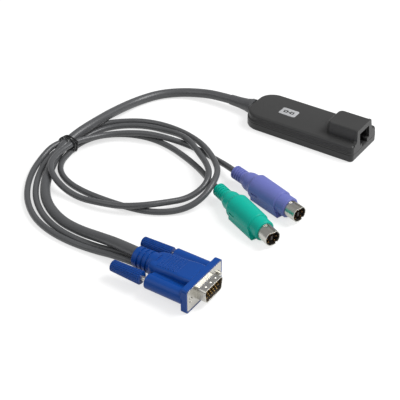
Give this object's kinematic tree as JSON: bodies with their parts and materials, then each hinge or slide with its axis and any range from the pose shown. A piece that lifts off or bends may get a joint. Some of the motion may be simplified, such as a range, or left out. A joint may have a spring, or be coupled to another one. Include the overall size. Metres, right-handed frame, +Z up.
{
  "type": "kvm dongle",
  "caption": "Interface adapter with a modular socket, a main cable to a D-sub video plug, and coiled, tied leads to round keyboard and mouse plugs.",
  "frame": {"origin": "on the floor, under the middle of the adapter case without its cable", "axes": "+X along the case towards its socket, +Y across the case away from the coiled leads, +Z up"},
  "size_m": [0.1685, 0.2026, 0.0185],
  "materials": {
    "case_plastic": "fine matt moulded texture",
    "cable_jacket": "satin flexible jacket",
    "tie_coating": "satin",
    "blue_plastic": "semi-gloss moulded",
    "purple_plastic": "semi-gloss moulded",
    "green_plastic": "semi-gloss moulded",
    "nickel": "bright plated",
    "gold": "bright plated",
    "black_insulator": "matt",
    "board": "satin solder mask",
    "can_aluminium": "satin",
    "screw_steel": "dark plated"
  },
  "bodies": {
    "adapter_and_cables": {"adapter_base": "case_plastic", "adapter_cover": "case_plastic", "circuit_board": "board", "rj45_body": "black_insulator", "rj45_contacts": "gold", "board_chips": "black_insulator", "board_capacitors": "can_aluminium", "cable_header": "black_insulator", "cable_core": "cable_jacket", "case_screw_rear": "screw_steel", "case_screw_front": "screw_steel", "cable_boot": "cable_jacket", "main_cable": "cable_jacket", "mouse_cable": "cable_jacket", "keyboard_cable": "cable_jacket", "cable_tie": "tie_coating", "vga_hood": "blue_plastic", "vga_shell": "nickel", "vga_insulator": "black_insulator", "vga_pins": "gold", "keyboard_plug_body": "purple_plastic", "keyboard_plug_shell": "nickel", "keyboard_plug_insert": "black_insulator", "keyboard_plug_pins": "gold", "mouse_plug_body": "green_plastic", "mouse_plug_shell": "nickel", "mouse_plug_insert": "black_insulator", "mouse_plug_pins": "gold"},
    "near_jackscrew": {"jackscrew_near": "nickel"},
    "near_knob": {"knob_near": "blue_plastic"},
    "far_jackscrew": {"jackscrew_far": "nickel"},
    "far_knob": {"knob_far": "blue_plastic"}
  },
  "joints": [
    {"name": "near_jackscrew_slide", "type": "slide", "parent": "adapter_and_cables", "child": "near_jackscrew", "axis": [1, 0, 0], "range_m": [-0.002, 0.003]},
    {"name": "near_knob_turn", "type": "hinge", "parent": "near_jackscrew", "child": "near_knob", "pos_m": [-0.005, -0.18199, 0.0075], "axis": [1, 0, 0], "continuous": true},
    {"name": "far_jackscrew_slide", "type": "slide", "parent": "adapter_and_cables", "child": "far_jackscrew", "axis": [1, 0, 0], "range_m": [-0.0036, 0.0014]},
    {"name": "far_knob_turn", "type": "hinge", "parent": "far_jackscrew", "child": "far_knob", "pos_m": [-0.005, -0.15701, 0.0075], "axis": [1, 0, 0], "continuous": true}
  ]
}
